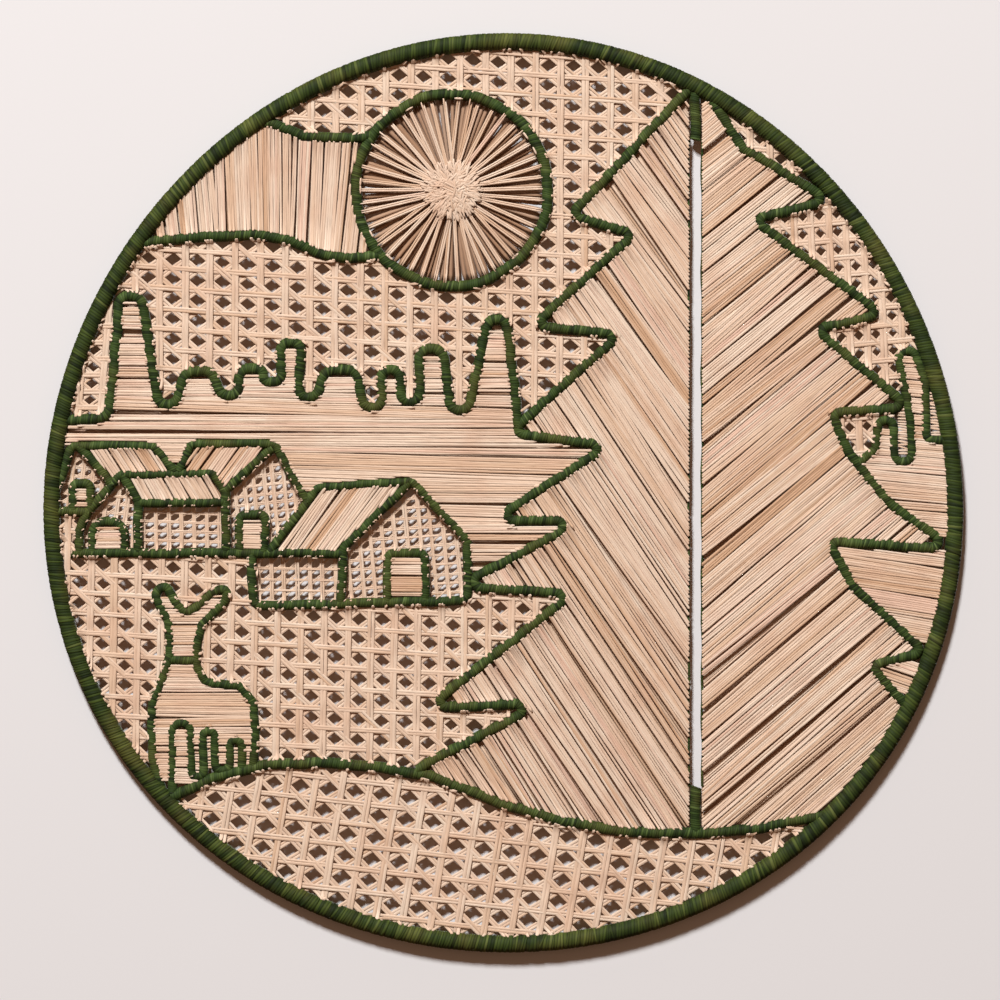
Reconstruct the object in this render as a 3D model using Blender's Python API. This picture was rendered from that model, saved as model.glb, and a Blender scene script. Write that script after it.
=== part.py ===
"""A round wall hanging of wire and woven palm, as faceted solids in metres.

The disc hangs upright: +X to its right, +Z up, its front facing -Y. The origin is on the
flat back of the rim at the very top, where the rim lies against the wall.

The skeleton is wire wound with green palm. Every field between the wires is one woven
panel: close straws, open lace, or the rays of the sun.
"""

import math

import bmesh
import bpy
from mathutils import Vector
from mathutils.geometry import intersect_point_line, intersect_point_tri_2d

# Driving sizes
RIM_RADIUS = 0.187           # centre line of the rim wire, on average
RIM_WIRE_RADIUS = 0.0037     # each wire radius is taken over its green winding
MAIN_WIRE_RADIUS = 0.0024
FINE_WIRE_RADIUS = 0.0019
TRUNK_WIRE_RADIUS = 0.0005
TRUNK_SLOT = 0.0038          # open slot between the two trunk wires
SUN_RADIUS = 0.0399          # centre line of the ring round the sun
SUN_HUB_RADIUS = 0.0120      # matted middle where the rays cross
SUN_RAY_WIDTH = 0.0017
SUN_RAY_COUNT = 46
CLEARANCE = 0.0003           # left round a wire by the panels and wires that meet it
STRAW_THICKNESS = 0.0018
LACE_THICKNESS = 0.0014
LACE_BORDER = 0.0016         # least web between a lace opening and the panel's edge
LACE_PITCH = (0.0243, 0.0207)      # one diamond opening stands for a cluster of small ones
LACE_OPENING = (0.0150, 0.0132)    # its width and height
NET_PITCH = (0.0108, 0.0096)       # the finer net of the house walls
NET_OPENING = (0.0066, 0.0052)

# How far the hand-bent rim strays from a circle: waves round it, share of radius, phase
RIM_SWAY = ((1, 0.016, 52.0), (3, 0.010, 103.0))
RIM_SEGMENTS = 60
SUN_SEGMENTS = 30
BEND_SAG = 0.0008                  # how far the flats of a bend may lie inside its arc
PLAIN_TURN = math.radians(24)      # a corner that turns less than this stays a corner
LEAST_FLAT = 0.0002                # shortest flat on the inside of a bend
SHARPEST_TURN = math.radians(95)   # most that one corner of a faceted bend may turn
CUT_HALF_DEPTH = 0.010             # cutters reach past the thickest solid
SHEET_HALF_DEPTH = 0.004
LEG_SHARE = 0.48                   # most of a straight leg that one bend may take up
FRONT_FACING = 0.5                 # a face turned further than this to the front is flat
SUN_HUB_HALF_DEPTH = 0.0016
SUN_HUB_SIDES = 16
ROOT_SPREAD = 1.15                 # rays part a little outside where their sides meet

# The picture is laid out in drawing units: 450 of them make the rim's radius, u runs to
# the right and v runs down. These are the drawing's middle and the sun's.
DRAWING_RADIUS = 450.0
DRAWING_CENTRE = (500.0, 491.5)
SUN_CENTRE = (452.0, 191.0)

TRUNK_U = 695
TRUNK_SPLIT_V = (141, 786)         # where the two trunk wires part and meet again
TREE_LEFT = (
    (689, 94), (576, 215), (629, 236), (540, 324), (613, 337), (517, 431), (599, 448),
    (503, 518), (569, 523), (471, 584), (564, 596), (438, 704), (527, 706), (416, 769))
TREE_RIGHT = (
    (703, 99), (742, 149), (821, 201), (758, 221), (875, 314), (820, 331), (900, 405),
    (834, 415), (848, 454), (888, 503), (940, 545), (832, 544), (852, 586), (918, 651),
    (874, 666), (905, 707))
GROUND = (
    (170, 796), (209, 779), (271, 763), (319, 762), (383, 767), (430, 775), (500, 802),
    (564, 821), (628, 831), (691, 833), (755, 828), (832, 815))
CLOUD_UPPER = ((258, 124), (272, 124), (303, 137), (353, 140), (371, 137))
CLOUD_LOWER = (
    (134, 243), (159, 242), (207, 237), (255, 235), (287, 240), (319, 254), (351, 259),
    (382, 255))
# Each hill is (middle, top, half width) and the dip after it is (middle, bottom)
HILLS = (
    (132, 297, 11), (199, 371, 13), (252, 369, 12), (291, 343, 10.5), (341, 371, 17),
    (391, 371, 9.5), (431, 350, 12))
DIPS = ((168, 405), (230, 396), (274, 382), (309, 398), (373, 408), (411, 402), (460, 410))
DIP_HALF_WIDTH = 9.5
HILL_START = ((52, 420), (110, 418))
HILL_END = ((488, 319), (506, 319), (519, 429))
FAR_HILLS = (
    (945, 440), (925, 440), (924, 385), (912, 350), (897, 352), (910, 420), (911, 462),
    (894, 462), (892, 421), (878, 421), (875, 450), (858, 463))
VILLAGE_BASE = ((73, 553), (344, 553))
HOUSE_A = ((50, 498), (64, 474), (72, 446), (155, 446), (176, 472))
HOUSE_A_GABLE = ((80, 446), (115, 486))
HOUSE_A_WINDOW = ((74, 512), (74, 484), (91, 484), (91, 512))
HOUSE_A_FLOOR = ((48, 512), (91, 512))
HOUSE_B = ((180, 472), (191, 444), (276, 444), (308, 504))
HOUSE_B_GABLE = ((273, 448), (225, 491))
HOUSE_B_DOOR = ((240, 552), (240, 515), (265, 515), (265, 552))
HOUSE_C = ((80, 553), (79, 533), (89, 512), (122, 475), (213, 473), (226, 493), (227, 553))
HOUSE_C_DIVIDER = ((124, 475), (139, 503), (139, 553))
HOUSE_C_EAVE = ((139, 503), (227, 502))
HOUSE_C_DOOR = ((94, 553), (94, 521), (125, 521), (125, 553))
HOUSE_D = (
    (269, 553), (318, 488), (412, 481), (468, 541), (468, 600), (254, 606), (252, 553))
HOUSE_D_GABLE = ((409, 483), (344, 548), (341, 604))
HOUSE_D_DOOR = ((388, 603), (388, 553), (425, 553), (425, 602))
ANIMAL = (
    (163, 790), (154, 758), (152, 730), (154, 700), (164, 678), (171, 655), (169, 620),
    (155, 594), (166, 584), (177, 605), (187, 613), (198, 606), (213, 592), (228, 588),
    (226, 601), (202, 624), (198, 644), (197, 666), (206, 682), (240, 686), (254, 703),
    (256, 730), (254, 765))
COLLAR = ((170, 660), (197, 660))
LEGS = (
    (173, 796), (173, 723), (191, 723), (192, 776), (204, 776), (204, 731), (216, 731),
    (216, 770), (230, 770), (230, 740), (242, 740), (243, 770))

GREEN = ("green wound palm", (0.050, 0.095, 0.018, 1.0), 0.72)
NATURAL = ("natural palm straw", (0.780, 0.600, 0.420, 1.0), 0.62)

UNIT = RIM_RADIUS / DRAWING_RADIUS
TRUNK_HALF_GAP = TRUNK_SLOT / 2 + TRUNK_WIRE_RADIUS
GROUND_UNDER_TRUNK_V = 833


def place(u, v):
    """A drawing point as a flat vector in metres from the middle of the disc."""
    return Vector(((u - DRAWING_CENTRE[0]) * UNIT, (DRAWING_CENTRE[1] - v) * UNIT))


def placed(points):
    return [place(u, v) for u, v in points]


def rim_point(angle):
    """A point of the rim's centre line, a circle with the sway of hand bending."""
    sway = sum(
        share * math.cos(waves * angle + math.radians(phase))
        for waves, share, phase in RIM_SWAY)
    radius = RIM_RADIUS * (1 + sway)
    return Vector((radius * math.cos(angle), radius * math.sin(angle)))


def on_rim(point):
    """The point of the rim's centre line straight out from the middle through this one."""
    return rim_point(math.atan2(point.y, point.x))


def rim_above(x):
    """The upper point of the rim's centre line at this distance from the middle."""
    return Vector((x, rim_point(math.acos(x / RIM_RADIUS)).y))


def circle(centre, radius, count):
    turns = [math.tau * step / count for step in range(count)]
    return [centre + radius * Vector((math.cos(turn), math.sin(turn))) for turn in turns]


def turned(vector, angle):
    return Vector((
        vector.x * math.cos(angle) - vector.y * math.sin(angle),
        vector.x * math.sin(angle) + vector.y * math.cos(angle)))


def extended(points, bend):
    """Sharp corners moved out, so that an arc of this bend still reaches the given point."""
    result = [points[0]]
    for before, corner, after in zip(points, points[1:], points[2:]):
        arm_a = (before - corner).normalized()
        arm_b = (after - corner).normalized()
        half = arm_a.angle(arm_b) / 2
        if half < math.radians(50):
            corner = corner - (arm_a + arm_b).normalized() * bend * (1 / math.sin(half) - 1)
        result.append(corner)
    return result + [points[-1]]


def rounded(points, bend):
    """An open path with each corner turned into an arc, as tight as its legs allow."""
    path = [points[0]]
    for before, corner, after in zip(points, points[1:], points[2:]):
        arm_a = before - corner
        arm_b = after - corner
        turn = math.pi - arm_a.angle(arm_b)
        if turn < PLAIN_TURN:
            path.append(corner)
            continue
        reach = min(bend * math.tan(turn / 2), LEG_SHARE * arm_a.length, LEG_SHARE * arm_b.length)
        radius = reach / math.tan(turn / 2)
        side = 1 if arm_a.x * arm_b.y < arm_a.y * arm_b.x else -1
        spoke = turned(arm_a.normalized(), side * math.pi / 2) * radius
        middle = corner + arm_a.normalized() * reach - spoke
        half_step = math.acos(1 - min(1, BEND_SAG / radius))
        steps = max(1, math.ceil(turn / 2 / half_step))
        path += [middle + turned(spoke, side * turn * step / steps) for step in range(steps + 1)]
    return path + [points[-1]]


def unfolded(path, radius):
    """Neighbours joined where the inside of a wire this thick would fold over itself."""
    points = list(path)
    index = 1
    while index < len(points) - 2:
        before, start, end, after = points[index - 1:index + 3]
        leg = end - start
        bite = radius * (
            math.tan((start - before).angle_signed(leg) / 2)
            + math.tan(leg.angle_signed(after - end) / 2))
        middle = (start + end) / 2
        turn = (middle - before).angle(after - middle)
        if leg.length < abs(bite) + LEAST_FLAT and turn < SHARPEST_TURN:
            points[index:index + 2] = [middle]
            index = max(1, index - 1)
        else:
            index += 1
    return points


def nearest(path, point):
    """The point of an open path that is closest to this one."""
    found = []
    for start, end in zip(path, path[1:]):
        share = intersect_point_line(point, start, end)[1]
        found.append(start.lerp(end, min(max(share, 0.0), 1.0)))
    return min(found, key=lambda spot: (spot - point).length)


def tube_section(radius, sides):
    """A regular section with flats facing sideways, as pairs of (across, depth)."""
    corner = radius / math.cos(math.pi / sides)
    angles = [math.tau * (side + 0.5) / sides for side in range(sides)]
    return [(corner * math.cos(angle), corner * math.sin(angle)) for angle in angles]


def slot_section(half_width):
    depth = CUT_HALF_DEPTH
    return [(half_width, -depth), (half_width, depth), (-half_width, depth), (-half_width, -depth)]


def material(name, colour, roughness):
    found = bpy.data.materials.get(name)
    if found is None:
        found = bpy.data.materials.new(name)
        found.use_nodes = True
        shader = found.node_tree.nodes["Principled BSDF"]
        shader.inputs["Base Color"].default_value = colour
        shader.inputs["Roughness"].default_value = roughness
        shader.inputs["Metallic"].default_value = 0.0
    return found


def finish_as(obj, look):
    obj.data.materials.clear()
    obj.data.materials.append(material(*look))


def new_object(name, shape):
    """An object from a bmesh, which is freed, with its faces turned outwards."""
    bmesh.ops.recalc_face_normals(shape, faces=shape.faces)
    mesh = bpy.data.meshes.new(name)
    shape.to_mesh(mesh)
    shape.free()
    obj = bpy.data.objects.new(name, mesh)
    bpy.context.scene.collection.objects.link(obj)
    return obj


def as_guide(obj):
    obj.hide_render = True
    obj.display_type = "WIRE"
    return obj


def skin(shape, rings, closed):
    """Faces from each ring of vertices to the next, and round to the first or with caps."""
    pairs = list(zip(rings, rings[1:] + rings[:1]))
    for ring, following in pairs if closed else pairs[:-1]:
        for side in range(len(ring)):
            nearby = (side + 1) % len(ring)
            shape.faces.new((ring[side], ring[nearby], following[nearby], following[side]))
    if not closed:
        shape.faces.new(rings[0])
        shape.faces.new(rings[-1])


def swept(name, path, section, closed=False):
    """A section carried along a flat path and mitred at each point of it."""
    shape = bmesh.new()
    rings = []
    last = len(path) - 1
    for index, point in enumerate(path):
        into = (point - path[index - 1]).normalized()
        out = (path[(index + 1) % len(path)] - point).normalized()
        if not closed and index == 0:
            into = out
        if not closed and index == last:
            out = into
        heading = (into + out).normalized()
        across = Vector((heading.y, -heading.x)) / heading.dot(into)
        rings.append([
            shape.verts.new((point.x + across.x * width, depth, point.y + across.y * width))
            for width, depth in section])
    skin(shape, rings, closed)
    return new_object(name, shape)


def prism(name, outlines, half_depth):
    """Flat outlines given a depth from front to back, in one mesh."""
    shape = bmesh.new()
    for outline in outlines:
        rings = [
            [shape.verts.new((point.x, depth, point.y)) for point in outline]
            for depth in (-half_depth, half_depth)]
        skin(shape, rings, closed=False)
    return new_object(name, shape)


def combine(obj, others, operation, crossed=False):
    """Booleans with the others in turn. The result replaces the object's own mesh.

    Crossed others may run through themselves, as a slot does at a tight bend.
    """
    for other in others:
        step = obj.modifiers.new(other.name, "BOOLEAN")
        step.operation = operation
        step.solver = "EXACT"
        step.use_self = crossed
        step.object = other
    graph = bpy.context.evaluated_depsgraph_get()
    mesh = bpy.data.meshes.new_from_object(obj.evaluated_get(graph))
    obj.modifiers.clear()
    obj.data = mesh


class Skeleton:
    """Every wire of the picture, with the slot that each leaves in what meets it."""

    def __init__(self):
        self.paths = {}
        self.solids = {}
        self.slots = {}
        self.lashed_to = {}

    def add(self, name, path, radius, lashed_to=(), sides=6, closed=False):
        if not closed:
            path = unfolded(path, radius + CLEARANCE)
        self.paths[name] = path
        self.solids[name] = swept(name, path, tube_section(radius, sides), closed)
        self.add_slot(name, path, radius, closed)
        self.lashed_to[name] = lashed_to

    def add_slot(self, name, path, radius, closed=False):
        section = slot_section(radius + CLEARANCE)
        self.slots[name] = as_guide(swept(name + "_slot", path, section, closed))

    def draw(self, name, points, radius, bend, lashed_to, first_on=None, last_on=None):
        """A wire through drawing points, whose ends may stand on wires drawn before it."""
        corners = placed(points)
        for end, carrier in ((0, first_on), (-1, last_on)):
            if carrier == "rim":
                corners[end] = on_rim(corners[end])
            elif carrier:
                path = self.paths[carrier]
                corners[end] = nearest(path + path[:1], corners[end])
        self.add(name, rounded(corners, bend * UNIT), radius, lashed_to)

    def lash(self):
        """Each wire's ends are cut back to the wires that it is lashed to."""
        for name, solid in self.solids.items():
            others = [self.slots[other] for other in self.lashed_to[name]]
            combine(solid, others, "DIFFERENCE", crossed=True)
            finish_as(solid, GREEN)


def hill_points():
    """Square-cornered hills and dips, which the bends of the wire make round."""
    points = list(HILL_START)
    for (middle, top, half), (dip, bottom) in zip(HILLS, DIPS):
        points += [(middle - half, top), (middle + half, top)]
        points += [(dip - DIP_HALF_WIDTH, bottom), (dip + DIP_HALF_WIDTH, bottom)]
    return points + list(HILL_END)


def add_rings(skeleton):
    # The mount lies within one flat of the rim's back, a quarter of the way along it
    start = math.pi / 2 + math.tau / RIM_SEGMENTS / 4
    rim = [rim_point(start + math.tau * step / RIM_SEGMENTS) for step in range(RIM_SEGMENTS)]
    skeleton.add("rim", rim, RIM_WIRE_RADIUS, sides=8, closed=True)
    ring = circle(place(*SUN_CENTRE), SUN_RADIUS, SUN_SEGMENTS)
    skeleton.add("sun_ring", ring, MAIN_WIRE_RADIUS, closed=True)


def add_tree(skeleton):
    skeleton.draw("ground_wire", GROUND, MAIN_WIRE_RADIUS, 60, ("rim",), "rim", "rim")
    # A branch tip is bent as tight as the wire allows
    bend = MAIN_WIRE_RADIUS + CLEARANCE
    left = extended(placed(TREE_LEFT), bend)
    left[0] = on_rim(left[0])
    skeleton.add(
        "tree_left_wire", rounded(left, bend), MAIN_WIRE_RADIUS,
        ("rim", "ground_wire", "house_d_outline_wire"))
    right = extended(placed(TREE_RIGHT), bend)
    right[0] = on_rim(right[0])
    right[-1] = on_rim(right[-1])
    skeleton.add(
        "tree_right_wire", rounded(right, bend), MAIN_WIRE_RADIUS, ("rim", "tree_left_wire"))


def add_trunk(skeleton):
    """Two thin wires with a slot between, lashed into one wire above and below it."""
    top = place(TRUNK_U, TRUNK_SPLIT_V[0])
    foot = place(TRUNK_U, TRUNK_SPLIT_V[1])
    side = Vector((TRUNK_HALF_GAP, 0))
    lap = Vector((0, 2 * TRUNK_WIRE_RADIUS))
    head = rim_above(top.x)
    ground = place(TRUNK_U, GROUND_UNDER_TRUNK_V)
    skeleton.add("trunk_wires", [head, top - lap], MAIN_WIRE_RADIUS, (
        "rim", "ground_wire", "tree_left_wire", "tree_right_wire"))
    loop = [top - side, foot - side, foot + side, top + side]
    pair = swept("trunk_pair", loop, tube_section(TRUNK_WIRE_RADIUS, 6), closed=True)
    stub = swept("trunk_foot", [foot + lap, ground], tube_section(MAIN_WIRE_RADIUS, 6))
    combine(skeleton.solids["trunk_wires"], [as_guide(pair), as_guide(stub)], "UNION")
    bpy.data.objects.remove(skeleton.slots["trunk_wires"])
    skeleton.add_slot("trunk_wires", [head, ground], TRUNK_HALF_GAP + TRUNK_WIRE_RADIUS)


def add_land(skeleton):
    main, fine = MAIN_WIRE_RADIUS, FINE_WIRE_RADIUS
    for name, points, bend in (
            ("cloud_upper_wire", CLOUD_UPPER, 14), ("cloud_lower_wire", CLOUD_LOWER, 40)):
        skeleton.draw(name, points, main, bend, ("rim", "sun_ring"), "rim", "sun_ring")
    skeleton.draw(
        "hill_wire", hill_points(), main, 8.5, ("rim", "tree_left_wire"), "rim",
        "tree_left_wire")
    skeleton.draw(
        "far_hill_wire", FAR_HILLS, fine, 7.5, ("rim", "tree_right_wire"), "rim",
        "tree_right_wire")


def add_village(skeleton):
    fine = FINE_WIRE_RADIUS
    houses = (
        ("village_base_wire", VILLAGE_BASE, 6, ("house_d_gable_wire",)),
        ("house_a_outline_wire", HOUSE_A, 7, ("rim", "house_c_outline_wire")),
        ("house_a_gable_wire", HOUSE_A_GABLE, 6,
         ("house_a_outline_wire", "house_c_outline_wire")),
        ("house_a_floor_wire", HOUSE_A_FLOOR, 6, ("rim", "house_c_outline_wire")),
        ("house_a_window_wire", HOUSE_A_WINDOW, 5.5,
         ("house_a_floor_wire", "house_c_outline_wire")),
        ("house_b_outline_wire", HOUSE_B, 7,
         ("house_a_outline_wire", "house_c_outline_wire", "house_d_outline_wire")),
        ("house_b_gable_wire", HOUSE_B_GABLE, 6,
         ("house_b_outline_wire", "house_c_outline_wire")),
        ("house_b_door_wire", HOUSE_B_DOOR, 6, ("village_base_wire", "house_d_outline_wire")),
        ("house_c_outline_wire", HOUSE_C, 7, ("village_base_wire",)),
        ("house_c_divider_wire", HOUSE_C_DIVIDER, 7,
         ("village_base_wire", "house_c_outline_wire")),
        ("house_c_eave_wire", HOUSE_C_EAVE, 6,
         ("house_c_divider_wire", "house_c_outline_wire")),
        ("house_c_door_wire", HOUSE_C_DOOR, 14, ("village_base_wire",)),
        ("house_d_outline_wire", HOUSE_D, 8, ("village_base_wire",)),
        ("house_d_gable_wire", HOUSE_D_GABLE, 12, ("house_d_outline_wire",)),
        ("house_d_door_wire", HOUSE_D_DOOR, 6, ("house_d_outline_wire",)))
    for name, points, bend, lashed_to in houses:
        first_on = "rim" if points in (HOUSE_A, HOUSE_A_FLOOR) else None
        skeleton.draw(name, points, fine, bend, lashed_to, first_on)


def add_animal(skeleton):
    fine = FINE_WIRE_RADIUS
    skeleton.draw("animal_wire", ANIMAL, fine, 8, ("rim", "ground_wire"))
    skeleton.draw("animal_collar_wire", COLLAR, fine, 6, ("animal_wire",))
    skeleton.draw("animal_leg_wire", LEGS, fine, 9, ("rim", "ground_wire", "animal_wire"))


class Field:
    """One field between the wires: a body of the cut sheet and its flat outline."""

    def __init__(self, faces):
        self.faces = faces
        self.front = [
            [Vector((vert.co.x, vert.co.z)) for vert in face.verts]
            for face in faces if face.normal.y < -FRONT_FACING]
        self.border = [
            [Vector((vert.co.x, vert.co.z)) for vert in edge.verts]
            for face in faces if face.normal.y < -FRONT_FACING
            for edge in face.edges
            if any(abs(other.normal.y) < FRONT_FACING for other in edge.link_faces)]

    def holds(self, point):
        return any(intersect_point_tri_2d(point, *corners) for corners in self.front)

    def clear_of_border(self, point, distance):
        return all(
            (nearest(edge, point) - point).length >= distance for edge in self.border)

    def body(self, name, half_depth):
        """The field as an object of its own, with its front and back this far apart."""
        shape = bmesh.new()
        copies = {}
        for face in self.faces:
            for vert in face.verts:
                if vert not in copies:
                    depth = math.copysign(half_depth, vert.co.y)
                    copies[vert] = shape.verts.new((vert.co.x, depth, vert.co.z))
            shape.faces.new([copies[vert] for vert in face.verts])
        return new_object(name, shape)

    def spread(self):
        """The middle of the field and the radius of a circle round it."""
        corners = [point for edge in self.border for point in edge]
        low = Vector((min(p.x for p in corners), min(p.y for p in corners)))
        high = Vector((max(p.x for p in corners), max(p.y for p in corners)))
        return (low + high) / 2, (high - low).length / 2


def islands(shape):
    """The faces of each separate body of a bmesh."""
    waiting = set(shape.faces)
    while waiting:
        found = [waiting.pop()]
        for face in found:
            for edge in face.edges:
                joined = [other for other in edge.link_faces if other in waiting]
                waiting.difference_update(joined)
                found += joined
        yield found


def cut_sheet(skeleton):
    """One sheet over the whole disc, from which every wire's slot is cut."""
    outline = [rim_point(math.tau * step / RIM_SEGMENTS) for step in range(RIM_SEGMENTS)]
    sheet = prism("sheet", [outline], SHEET_HALF_DEPTH)
    combine(sheet, list(skeleton.slots.values()), "DIFFERENCE", crossed=True)
    shape = bmesh.new()
    shape.from_mesh(sheet.data)
    bpy.data.objects.remove(sheet)
    bmesh.ops.triangulate(shape, faces=shape.faces)
    return shape


def make_lace(name, field, pitch, opening, tilt):
    """A flat panel with diamond openings in straight rows, where a whole one has room."""
    panel = field.body(name, LACE_THICKNESS / 2)
    centre, reach = field.spread()
    rows = math.ceil(reach / pitch[1])
    columns = math.ceil(reach / pitch[0])
    tips = [
        turned(Vector(tip), math.radians(tilt))
        for tip in ((opening[0] / 2, 0), (0, opening[1] / 2), (-opening[0] / 2, 0),
                    (0, -opening[1] / 2))]
    diamonds = []
    for row in range(-rows, rows + 1):
        for column in range(-columns, columns + 1):
            step = Vector((column * pitch[0], row * pitch[1]))
            middle = centre + turned(step, math.radians(tilt))
            corners = [middle + tip for tip in tips]
            if all(field.holds(p) and field.clear_of_border(p, LACE_BORDER) for p in corners):
                diamonds.append(corners)
    if diamonds:
        holes = as_guide(prism(name + "_holes", diamonds, CUT_HALF_DEPTH))
        combine(panel, [holes], "DIFFERENCE")
    finish_as(panel, NATURAL)


# Each panel is named with a drawing point in its field, and laces with their tilt
STRAWS = (
    ("cloud_straw", (250, 180)), ("hill_straw", (400, 465)),
    ("field_upper_straw", (920, 490)), ("field_middle_straw", (890, 575)),
    ("field_lower_straw", (895, 674)), ("tree_left_straw", (640, 450)),
    ("tree_right_straw", (760, 500)), ("house_a_roof_straw", (130, 460)),
    ("house_a_window_straw", (82, 498)), ("house_b_roof_straw", (225, 464)),
    ("house_b_door_straw", (252, 535)), ("house_c_roof_straw", (180, 488)),
    ("house_c_door_straw", (109, 538)), ("house_d_roof_straw", (330, 518)),
    ("house_d_door_straw", (406, 578)), ("animal_head_straw", (184, 640)),
    ("animal_body_straw", (200, 702)), ("animal_leg_straw", (182, 750)))
LACES = (
    ("sky_lace", (250, 285), 0), ("sky_left_lace", (93, 360), -12),
    ("sky_crest_lace", (775, 158), -38),
    ("sky_right_lace", (850, 262), -30), ("sky_notch_lace", (858, 436), 10),
    ("meadow_lace", (300, 690), -2), ("foreground_lace", (500, 880), -7))
NETS = (
    ("house_a_gable_lace", (84, 468), 20), ("house_b_gable_lace", (275, 492), 25),
    ("house_c_gable_lace", (112, 505), 30), ("house_c_wall_lace", (180, 528), 12),
    ("house_d_wall_lace", (300, 580), 12), ("house_d_gable_lace", (405, 525), 30))


def make_panels(skeleton):
    shape = cut_sheet(skeleton)
    fields = [Field(faces) for faces in islands(shape)]

    def field_at(spot):
        point = place(*spot)
        return next(field for field in fields if field.holds(point))

    for name, spot in STRAWS:
        panel = field_at(spot).body(name, STRAW_THICKNESS / 2)
        finish_as(panel, NATURAL)
    for name, spot, tilt in LACES:
        make_lace(name, field_at(spot), LACE_PITCH, LACE_OPENING, tilt)
    for name, spot, tilt in NETS:
        make_lace(name, field_at(spot), NET_PITCH, NET_OPENING, tilt)
    shape.free()


def make_sun():
    """Rays from a matted hub out to the ring, clear of it by the usual clearance."""
    centre = place(*SUN_CENTRE)
    outer = SUN_RADIUS - MAIN_WIRE_RADIUS - CLEARANCE
    half = SUN_RAY_WIDTH / 2
    root = half / math.sin(math.pi / SUN_RAY_COUNT)
    star = []
    for ray in range(SUN_RAY_COUNT):
        heading = turned(Vector((1, 0)), math.tau * ray / SUN_RAY_COUNT)
        side = turned(heading, math.pi / 2)
        star.append(centre + heading * outer - side * half)
        star.append(centre + heading * outer + side * half)
        star.append(centre + turned(heading, math.pi / SUN_RAY_COUNT) * root * ROOT_SPREAD)
    rays = prism("sun_rays", [star], SUN_RAY_WIDTH / 2)
    shape = bmesh.new()
    layers = ((-1, 0.5), (-0.7, 1), (0.7, 1), (1, 0.5))
    rings = [
        [shape.verts.new((p.x, depth * SUN_HUB_HALF_DEPTH, p.y))
         for p in circle(centre, SUN_HUB_RADIUS * share, SUN_HUB_SIDES)]
        for depth, share in layers]
    skin(shape, rings, closed=False)
    combine(rays, [as_guide(new_object("sun_hub", shape))], "UNION")
    finish_as(rays, NATURAL)


def hang(parts):
    """The rim's back comes to Y = 0 and its top to the origin."""
    hanger = bpy.data.objects.new("hanging_point", None)
    bpy.context.scene.collection.objects.link(hanger)
    hanger.location = (0, -RIM_WIRE_RADIUS, -rim_point(math.pi / 2).y)
    for part in parts:
        part.parent = hanger


def clear_scene():
    for obj in list(bpy.data.objects):
        bpy.data.objects.remove(obj, do_unlink=True)


def main():
    clear_scene()
    skeleton = Skeleton()
    add_rings(skeleton)
    add_tree(skeleton)
    add_trunk(skeleton)
    add_land(skeleton)
    add_village(skeleton)
    add_animal(skeleton)
    skeleton.lash()
    make_panels(skeleton)
    make_sun()
    hang([obj for obj in bpy.data.objects if obj.type == "MESH"])


main()
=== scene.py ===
"""The looks of a round wall hanging of wound wire and woven palm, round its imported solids.

Every strand of palm is its own ribbon of mesh, and every turn of the green winding is a
ridge on its wire. Straws and lace are cut to the borders of the CAD panels, and the sun's
rays to its ring.
"""

import logging
import math
from dataclasses import dataclass
from enum import Enum

import bpy
import numpy as np
from mathutils import Matrix, Vector


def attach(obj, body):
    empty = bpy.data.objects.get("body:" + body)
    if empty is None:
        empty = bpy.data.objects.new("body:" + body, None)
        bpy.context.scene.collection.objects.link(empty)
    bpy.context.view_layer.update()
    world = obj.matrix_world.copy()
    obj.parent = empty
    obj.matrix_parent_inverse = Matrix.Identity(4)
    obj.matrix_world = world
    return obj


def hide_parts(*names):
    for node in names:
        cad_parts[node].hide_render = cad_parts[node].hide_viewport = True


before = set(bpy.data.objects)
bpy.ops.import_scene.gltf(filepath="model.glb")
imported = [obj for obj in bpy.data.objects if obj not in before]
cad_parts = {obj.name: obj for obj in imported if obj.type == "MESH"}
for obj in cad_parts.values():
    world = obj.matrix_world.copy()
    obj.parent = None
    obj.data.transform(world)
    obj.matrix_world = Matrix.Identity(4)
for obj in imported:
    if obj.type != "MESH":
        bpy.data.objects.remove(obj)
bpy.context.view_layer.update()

LOG = logging.getLogger("wall_hanging")
Array = np.ndarray
Rng = np.random.Generator
Socket = bpy.types.NodeSocket
Pair = tuple[float, float]
MM = 0.001
SEED = 8127

# Sizes shared with the solids
RIM_RADIUS = 0.187
RIM_WIRE_RADIUS = 0.0037
MAIN_WIRE_RADIUS = 0.0024
TRUNK_WIRE_RADIUS = 0.0005
SUN_RADIUS = 0.0399
SUN_RAY_COUNT = 46
RIM_SWAY = ((1, 0.016, 52.0), (3, 0.010, 103.0))

# A little more than in the solids, which have 0.0019 and 0.0038
FINE_WIRE_RADIUS = 0.0021
TRUNK_SLOT = 0.0045

# The picture is laid out in drawing units: 450 of them make the rim's radius, u runs to
# the right and v runs down. These are the drawing's middle and the sun's.
DRAWING_RADIUS = 450.0
DRAWING_CENTRE = (500.0, 491.5)
SUN_CENTRE = (452.0, 191.0)
UNIT = RIM_RADIUS / DRAWING_RADIUS

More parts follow.
